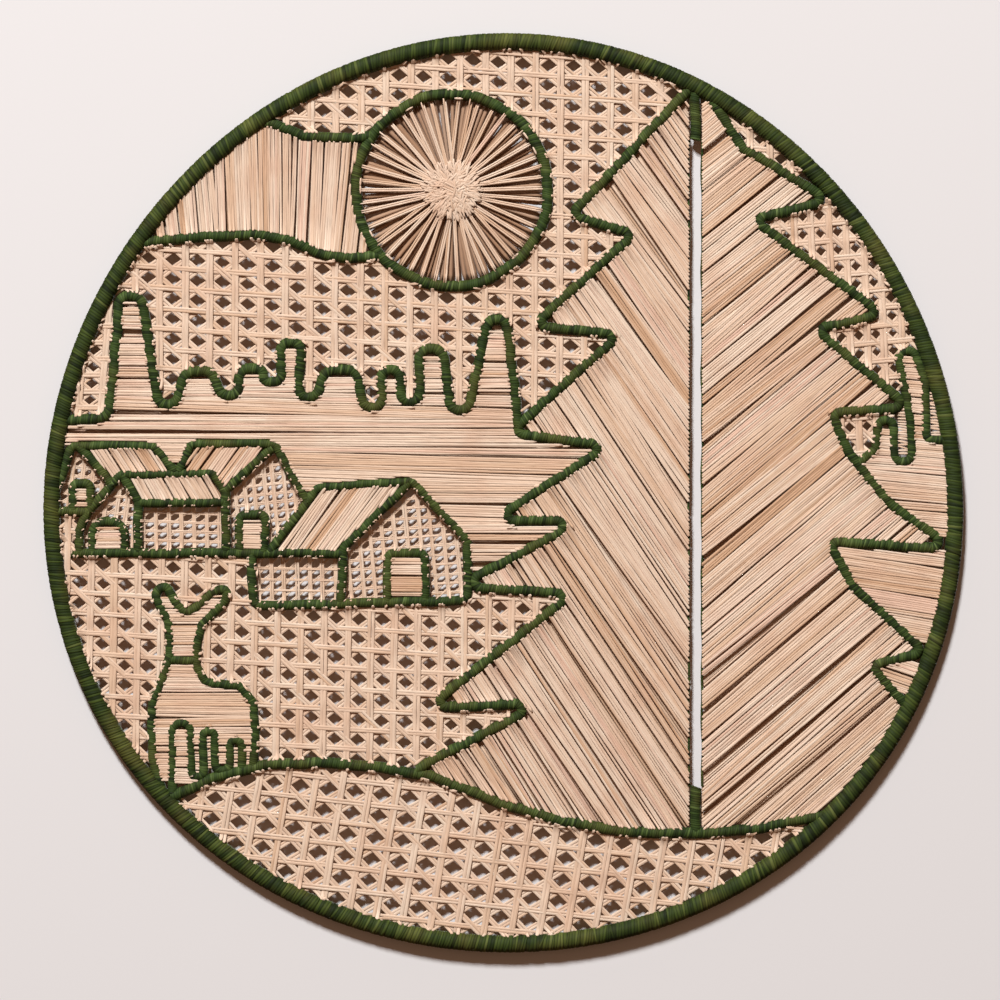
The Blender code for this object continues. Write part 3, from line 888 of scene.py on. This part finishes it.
CANE = (
    Family((1, 0), (0, 1), (0.0, 0.0), 1.58 * MM, 0.30 * MM, 0.24 * MM),
    Family((0, 1), (1, 0), (0.0, 0.0), 1.20 * MM, 0.20 * MM, -0.24 * MM),
    Family((1, 0), (1, 1), (0.5, 0.0), 1.28 * MM, 0.00 * MM, 0.20 * MM),
    Family((1, 0), (1, -1), (0.5, 0.0), 1.28 * MM, -0.35 * MM, 0.20 * MM))
NET = (
    Family((1, 0), (0, 1), (0.0, 0.0), 0.94 * MM, -1.60 * MM, 0.20 * MM),
    Family((0, 1), (1, 0), (0.0, 0.0), 0.68 * MM, -1.70 * MM, -0.20 * MM),
    Family((1, 0), (1, -1), (0.5, 0.0), 0.55 * MM, -1.85 * MM, 0.1 * MM))


# Laces: how thick the strands are, the distance between their rings, how lines and strands
# stray, and the middle of a strand from the middle of its pair, in strand widths
LACE_THICKNESS = 0.32 * MM
LACE_STEP = 3.2 * MM
LINE_STRAY = 0.16
LINE_TILT = 0.09
LACE_WIDTHS = (0.88, 1.1)
PAIR_SHIFTS = (0.39, 0.46)
LEVEL_STRAY = 0.05


@dataclass(frozen=True)
class LaceField:
    """A field of open lace.

    Attributes:
        node: The CAD node that it stands for.
        anchor: A drawing point where a column and a row cross.
        column: From one column to the next, in drawing units.
        row: From one row to the next below, in drawing units.
        families: The directions of the weave.
    """

    node: str
    anchor: Pair
    column: Pair
    row: Pair
    families: tuple[Family, ...] = CANE

    def weave(self, rng: Rng) -> Strands:
        """All the strands of the lace."""
        outline = Outline(self.node)
        strands = Strands(rng)
        anchor = place(*self.anchor)
        mesh = np.array((
            (self.column[0] * UNIT, -self.column[1] * UNIT),
            (self.row[0] * UNIT, -self.row[1] * UNIT)))
        for family in self.families:
            run = np.array(family.run) @ mesh
            heading = unit(run)
            normal = left_of(heading)
            first = anchor + np.array(family.start) @ mesh
            step = np.array(family.step) @ mesh
            gap = step @ normal
            near = (outline.middle - first) @ normal / gap
            span = math.ceil(outline.reach / abs(gap)) + 1
            for line in range(math.floor(near) - span, math.ceil(near) + span):
                base = first + step * line + normal * rng.normal(0, LINE_STRAY) * MM
                tilt = rng.normal(0, LINE_TILT)
                for side in (-1, 1):
                    width = family.strand * rng.uniform(*LACE_WIDTHS)
                    shift = side * family.strand * rng.uniform(*PAIR_SHIFTS)
                    angle = math.degrees(math.atan2(heading[1], heading[0]))
                    foot = base + heading * ((outline.middle - base) @ heading)
                    depth = Depth(
                        family.level + rng.uniform(-LEVEL_STRAY, LEVEL_STRAY) * MM, family.swing,
                        float(np.linalg.norm(run)), math.pi * line)
                    strands.run(
                        outline, foot + normal * shift, heading_of(angle + tilt),
                        width, LACE_THICKNESS, depth, LACE_STEP)
        return strands


@dataclass(frozen=True)
class Sun:
    """The rays of the sun, in pairs of strands that run into each other in the middle.

    Attributes:
        node: The CAD node that it stands for.
        tuck: How far the rays go into the ring.
        back_tone: Tone of the rays behind, at the dark end as painted shade.
        back_painted_shade: How much painted shade darkens them.
        climb: Length over which rays near the middle climb over each other.
        mat_reach: Radius of the matted middle.
        mat_ends: Number of its short ends.
        ring_strands: Number of short strands along the ring.
    """

    node: str = "sun_rays"
    tuck: float = 1.0 * MM
    back_tone: float = 0.1
    back_painted_shade: float = 0.85
    climb: float = 14 * MM
    mat_reach: float = 10.5 * MM
    mat_ends: int = 300
    ring_strands: int = 11

    def weave(self, rng: Rng) -> Strands:
        """The rays, and the loose ends over the middle."""
        strands = Strands(rng)
        centre = place(*SUN_CENTRE)
        outer = SUN_RADIUS - MAIN_WIRE_RADIUS + self.tuck
        # The rays behind take a dark tone and painted shade, as shade between the front rays
        strands.tone, strands.painted_shade = self.back_tone, self.back_painted_shade
        for ray in range(2 * SUN_RAY_COUNT):
            heading = heading_of(180 * ray / SUN_RAY_COUNT + rng.normal(0, 0.6))
            behind = centre + heading * np.linspace(-2 * MM, outer, 12)[:, None]
            depth = np.full(12, rng.uniform(-1.7, -1.2) * MM)
            strands.lay_down(behind, depth, rng.uniform(1.7, 2.3) * MM, 0.4 * MM, -1)
        strands.painted_shade = 0.0
        for ray in range(SUN_RAY_COUNT):
            angle = 360 * ray / SUN_RAY_COUNT + rng.normal(0, 1.5)
            aim = centre + rng.normal(0, 1.0, 2) * MM
            rim = centre + heading_of(angle) * outer
            heading = unit(aim - rim)
            normal = left_of(heading)
            level = rng.uniform(-0.3, 0.3) * MM
            rise = rng.uniform(0.4, 1.5) * MM
            strands.tone = rng.normal(0.5, 0.15)
            for side in (-1, 1):
                distance = np.linspace(0, outer + rng.uniform(2, 11) * MM, 16)
                spread = side * (0.38 + rng.uniform(-0.04, 0.06)) * MM
                flat = rim + heading * distance[:, None] + normal * spread
                # Towards the middle the rays climb over each other
                near = np.clip(1 - np.abs(distance - outer) / self.climb, 0, 1)
                depth = level + rise * near ** 0.5
                if rng.random() < 0.35:
                    depth[0] = rng.uniform(1.4, 1.9) * MM
                strands.lay_down(flat, depth, rng.uniform(0.74, 0.9) * MM, 0.5 * MM)
        self.mat(strands, centre, rng)
        for _ in range(self.ring_strands):
            turn = np.radians(rng.uniform(-60, 240) + np.linspace(-2.6, 2.6, 5))
            flat = centre + np.stack([np.cos(turn), np.sin(turn)], -1) * (outer - 0.5 * MM)
            strands.lay_down(flat, np.full(5, 1.5 * MM), 0.9 * MM, 0.5 * MM)
        return strands

    def mat(self, strands: Strands, centre: Array, rng: Rng) -> None:
        """The matted middle, of short ends that lie over the meeting rays.

        Args:
            strands: Where they are added.
            centre: The middle of the sun.
            rng: Source of the small irregularities.
        """
        strands.tone = 0.6
        for _ in range(self.mat_ends):
            out = math.sqrt(rng.random())
            angle = rng.uniform(0, 360)
            heading = heading_of(angle + rng.normal(0, 12 + 60 * (1 - out)))
            share = np.linspace(-1, 1, 8)
            middle = centre + heading_of(angle) * out * self.mat_reach
            bow = turned(heading, math.pi / 2) * rng.uniform(-0.5, 0.5) * MM
            flat = middle + heading * (share * rng.uniform(2.0, 3.6) * MM)[:, None]
            flat += bow * (share ** 2)[:, None]
            depth = (1.75 - 0.65 * out ** 2 + rng.normal(0, 0.06)) * MM - 0.35 * MM * share ** 2
            strands.lay_down(flat, depth, 0.85 * MM, 0.22 * MM)


def drawn(points: tuple, bend: float, ends_on_rim: tuple[int, ...] = ()) -> Track:
    """A track through drawing points, whose named ends, 0 or -1, stand on the rim."""
    corners = [place(u, v) for u, v in points]
    for end in ends_on_rim:
        corners[end] = on_rim(corners[end])
    return Track(rounded(corners, bend * UNIT))


def tree_side(points: tuple, ends_on_rim: tuple[int, ...]) -> Track:
    """One side of the tree, with its branch tips drawn out to the given points."""
    bend = TREE_TIP_BEND * UNIT
    corners = extended([place(u, v) for u, v in points], bend)
    for end in ends_on_rim:
        corners[end] = on_rim(corners[end])
    return Track(rounded(corners, bend))


def hill_points() -> tuple:
    """Square-cornered hills and dips, which the bends of the wire make round."""
    points = list(HILL_START)
    for (middle, top, half), (dip, bottom) in zip(HILLS, DIPS):
        points += [(middle - half, top), (middle + half, top)]
        points += [(dip - DIP_HALF_WIDTH, bottom), (dip + DIP_HALF_WIDTH, bottom)]
    return tuple(points) + HILL_END


def all_wires() -> list[Wire]:
    """Every wire but the trunk's pair."""
    main, fine = MAIN_WIRE_RADIUS, FINE_WIRE_RADIUS
    turns = np.radians(np.arange(0, 360, 1.0))
    ring = place(*SUN_CENTRE) + SUN_RADIUS * np.stack([np.cos(turns), np.sin(turns)], -1)
    wires = [
        Wire("rim", Track(rim_points(turns), True), RIM_WIRE_RADIUS, 1.2 * MM, 16, 0.0),
        Wire("sun_ring", Track(ring, True), main),
        Wire("tree_left_wire", tree_side(TREE_LEFT, (0,)), main),
        Wire("tree_right_wire", tree_side(TREE_RIGHT, (0, -1)), main)]
    wires += [Wire(node, drawn(*line), radius) for node, radius, *line in (
        ("ground_wire", main, GROUND, 60, (0, -1)),
        ("cloud_upper_wire", main, CLOUD_UPPER, 14, (0,)),
        ("cloud_lower_wire", main, CLOUD_LOWER, 40, (0,)),
        ("hill_wire", main, hill_points(), 12, (0,)),
        ("far_hill_wire", fine, FAR_HILLS, 7.5, (0,)), ("animal_wire", fine, ANIMAL, 8),
        ("animal_collar_wire", fine, ((170, 660), (197, 660)), 6),
        ("animal_leg_wire", fine, LEGS, 9))]
    houses = {
        "village_base_wire": (((73, 553), (344, 553)), 6),
        "house_a_outline_wire": (((50, 498), (64, 474), (72, 446), (155, 446), (176, 472)), 7),
        "house_a_gable_wire": (((80, 446), (115, 486)), 6),
        "house_a_floor_wire": (((48, 512), (91, 512)), 6),
        "house_a_window_wire": (((74, 512), (74, 484), (91, 484), (91, 512)), 5.5),
        "house_b_outline_wire": (((180, 472), (191, 444), (276, 444), (308, 504)), 7),
        "house_b_gable_wire": (((273, 448), (225, 491)), 6),
        "house_b_door_wire": (((240, 552), (240, 515), (265, 515), (265, 552)), 6),
        "house_c_outline_wire": ((
            (80, 553), (79, 533), (89, 512), (122, 475), (213, 473), (226, 493),
            (227, 553)), 7),
        "house_c_divider_wire": (((124, 475), (139, 503), (139, 553)), 7),
        "house_c_eave_wire": (((139, 503), (227, 502)), 6),
        "house_c_door_wire": (((94, 553), (94, 521), (125, 521), (125, 553)), 14),
        "house_d_outline_wire": ((
            (269, 553), (318, 488), (412, 481), (468, 541), (468, 600), (254, 606),
            (252, 553)), 8),
        "house_d_gable_wire": (((409, 483), (344, 548), (341, 604)), 12),
        "house_d_door_wire": (((388, 603), (388, 553), (425, 553), (425, 602)), 6)}
    for node, (points, bend) in houses.items():
        on_the_rim = (0,) if node in ("house_a_outline_wire", "house_a_floor_wire") else ()
        wires.append(Wire(node, drawn(points, bend, on_the_rim), fine))
    return wires


def wind_trunk(rng: Rng) -> StripMesh:
    """The trunk: a wound wire that parts into two thin ones and closes again."""
    top, foot = place(TRUNK_U, TRUNK_SPLIT_V[0]), place(TRUNK_U, TRUNK_SPLIT_V[1])
    head = np.array((top[0], rim_points(np.arccos(top[:1] / RIM_RADIUS))[0, 1]))
    side = np.array((TRUNK_SLOT / 2 + TRUNK_WIRE_RADIUS, 0.0))
    joined = StripMesh()
    spans = (
        (head, top, MAIN_WIRE_RADIUS), (foot, place(TRUNK_U, TRUNK_FOOT_V), MAIN_WIRE_RADIUS),
        (top - side, foot - side, TRUNK_WIRE_RADIUS),
        (top + side, foot + side, TRUNK_WIRE_RADIUS))
    for start, end, radius in spans:
        track = Track(np.array([start, end]))
        part = Wire("trunk_wires", track, radius, sides=8).wind(rng)
        joined.faces += [face + joined.count for face in part.faces]
        for key in ("points", "lays", "tones", "painted_shades"):
            getattr(joined, key).extend(getattr(part, key))
        joined.count += part.count
    return joined


STRAWS = tuple(StrawField(*field) for field in (
    ("cloud_straw", 91, 18), ("hill_straw", -1),
    ("field_upper_straw", -5), ("field_middle_straw", -9),
    ("field_lower_straw", -18), ("tree_left_straw", -56, 4),
    ("tree_right_straw", 40, -3),
    ("house_a_roof_straw", -56, 0, ROOF_STRAW),
    ("house_b_roof_straw", 54, 0, ROOF_STRAW),
    ("house_c_roof_straw", -60, 0, ROOF_STRAW),
    ("house_d_roof_straw", 54, 0, ROOF_STRAW),
    ("house_a_window_straw", 0), ("house_b_door_straw", 0),
    ("house_c_door_straw", 0), ("house_d_door_straw", 0),
    ("animal_head_straw", 0), ("animal_body_straw", 0),
    ("animal_leg_straw", 0)))
LACES = tuple(LaceField(*field) for field in (
    ("sky_lace", (310.4, 298.9), (24.9, 1.7), (-0.1, 19.9)),
    ("sky_left_lace", (87.5, 326.0), (20.5, 0.0), (-1.5, 16.5)),
    ("sky_crest_lace", (770, 150), (20.5, 1.3), (0.0, 18.5)),
    ("sky_right_lace", (864.0, 274.0), (17.0, -1.5), (0.7, 17.6)),
    ("sky_notch_lace", (858, 436), (17.5, -1.5), (0.7, 17.6)),
    ("meadow_lace", (301.2, 645.4), (23.3, 1.4), (-0.3, 20.0)),
    ("foreground_lace", (499.2, 839.8), (27.1, 3.0), (-3.6, 21.4)),
    ("house_a_gable_lace", (84, 468), (10.4, 0.9), (-1.2, 8.7), NET),
    ("house_b_gable_lace", (254.7, 486.0), (9.9, -1.1), (0.9, 9.1), NET),
    ("house_c_gable_lace", (108.2, 494.7), (10.4, 0.9), (-1.2, 8.7), NET),
    ("house_c_wall_lace", (169.1, 522.0), (12.6, 0.4), (0.1, 9.5), NET),
    ("house_d_wall_lace", (284.3, 568.5), (12.9, 0.2), (0.3, 11.1), NET),
    ("house_d_gable_lace", (394.5, 528.9), (12.1, -0.8), (0.9, 9.6), NET)))


@dataclass(frozen=True)
class Studio:
    """A pale wall, soft light from the upper left in a room of warm tone, and the camera.

    Attributes:
        photo_units: Drawing units across the picture.
        distance: From the camera to the wall.
        wall_gap: From the rim's back to the wall.
        key_power: Watts of the main light.
        fill_power: Watts of the light behind, which only the back sees.
        world_strength: Strength of the light of the room.
    """

    photo_units: float = 1000.0
    distance: float = 1.6
    wall_gap: float = 0.4 * MM
    key_power: float = 262.0
    fill_power: float = 120.0
    world_strength: float = 0.15

    def build(self) -> None:
        """Adds everything that isn't part of the object."""
        # Standard shows the materials' sRGB colours as they are given
        bpy.context.scene.view_settings.view_transform = "Standard"
        self.wall()
        self.far_side()
        # The key comes from above at a slant, so that the openings stay in shade
        self.light("key", (-0.95, -3.05, 3.2), 0.7, self.key_power, bounces=1)
        self.light("back fill", (1.8, 3.8, 1.0), 2.4, self.fill_power, bounces=0)
        world = bpy.data.worlds.new("studio")
        world.use_nodes = True
        background = world.node_tree.nodes["Background"]
        background.inputs["Color"].default_value = linear("#ffc49c")
        background.inputs["Strength"].default_value = self.world_strength
        world.cycles.max_bounces = 0
        bpy.context.scene.world = world
        self.camera()

    def wall(self) -> None:
        """The wall that the part hangs on. It is open to light and sight from behind."""
        shader = Shader("pale matt wall paint")
        surface = shader.surface
        shader.feed(surface.inputs["Base Color"], linear("#e8e7e8"))
        shader.feed(surface.inputs["Roughness"], 0.9)
        shader.feed(surface.inputs["Specular IOR Level"], 0.2)
        behind = shader.add("ShaderNodeNewGeometry").outputs["Backfacing"]
        clear = shader.add("ShaderNodeBsdfTransparent").outputs["BSDF"]
        mix = shader.add("ShaderNodeMixShader")
        for socket, value in zip(mix.inputs, (behind, surface.outputs["BSDF"], clear)):
            shader.feed(socket, value)
        output = shader.tree.nodes["Material Output"]
        shader.feed(output.inputs["Surface"], mix.outputs["Shader"])
        self.sheet("wall", 6, self.wall_gap, math.pi / 2, shader)

    def far_side(self) -> None:
        """A pale backdrop far in front of the wall, for views from behind."""
        shader = Shader("pale matt backdrop paper")
        shader.feed(shader.surface.inputs["Base Color"], linear("#000000"))
        shader.feed(shader.surface.inputs["Emission Color"], linear("#dedbd7"))
        shader.feed(shader.surface.inputs["Emission Strength"], 1.0)
        self.sheet("far_backdrop", 40, -8, -math.pi / 2, shader)

    def sheet(self, name: str, size: float, y: float, turn: float, shader: Shader) -> None:
        """A square across the view, turned about X, that only the camera sees."""
        bpy.ops.mesh.primitive_plane_add(size=size)
        sheet = bpy.context.object
        sheet.name = name
        sheet.data.transform(
            Matrix.Translation((0, y, 0)) @ Matrix.Rotation(turn, 4, "X"))
        sheet.visible_diffuse = sheet.visible_glossy = sheet.visible_shadow = False
        sheet.data.materials.append(shader.material)

    def light(
        self, name: str, spot: tuple[float, float, float], size: float, power: float,
        bounces: int,
    ) -> None:
        """A square soft light that faces the part.

        Args:
            name: Its name.
            spot: Its place from the middle of the disc.
            size: Length of its side.
            power: Its watts.
            bounces: How often its light is passed on, kept low so that openings stay dark.
        """
        data = bpy.data.lights.new(name, "AREA")
        data.size, data.energy = size, power
        data.cycles.max_bounces = bounces
        lamp = bpy.data.objects.new(name, data)
        middle = Vector((0, 0, -TOP_OF_RIM))
        lamp.location = Vector(spot) + middle
        lamp.rotation_euler = (-Vector(spot)).to_track_quat("-Z", "Y").to_euler()
        bpy.context.scene.collection.objects.link(lamp)

    def camera(self) -> None:
        """A long lens straight in front, with the part where the photo has it."""
        data = bpy.data.cameras.new("camera")
        camera = bpy.data.objects.new("camera", data)
        across, up = place(self.photo_units / 2, self.photo_units / 2)
        camera.location = (across, -self.distance, up - TOP_OF_RIM)
        camera.rotation_euler = (math.pi / 2, 0, 0)
        data.lens = data.sensor_width * self.distance / (self.photo_units * UNIT)
        bpy.context.scene.collection.objects.link(camera)
        bpy.context.scene.camera = camera


def main() -> None:
    """Builds the part's looks and its stage."""
    logging.basicConfig(level=logging.INFO)
    rng = np.random.default_rng(SEED)
    rim_look = palm_material(GREEN_RIM)
    green_look = palm_material(GREEN_WIRE)
    natural_look = palm_material(NATURAL)
    for wire in all_wires():
        look = rim_look if wire.node == "rim" else green_look
        settle(wire.wind(rng).build(wire.node + "_winding", look), Slot.GREEN, wire.node)
    trunk = wind_trunk(rng).build("trunk_winding", green_look)
    settle(trunk, Slot.GREEN, "trunk_wires")
    for woven in (*STRAWS, *LACES, Sun()):
        strands = woven.weave(rng).build(woven.node + "_strands", natural_look)
        LOG.info("%s has %d faces", woven.node, len(strands.data.polygons))
        settle(strands, Slot.NATURAL, woven.node)
    Studio().build()
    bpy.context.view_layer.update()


if __name__ == "__main__":
    main()
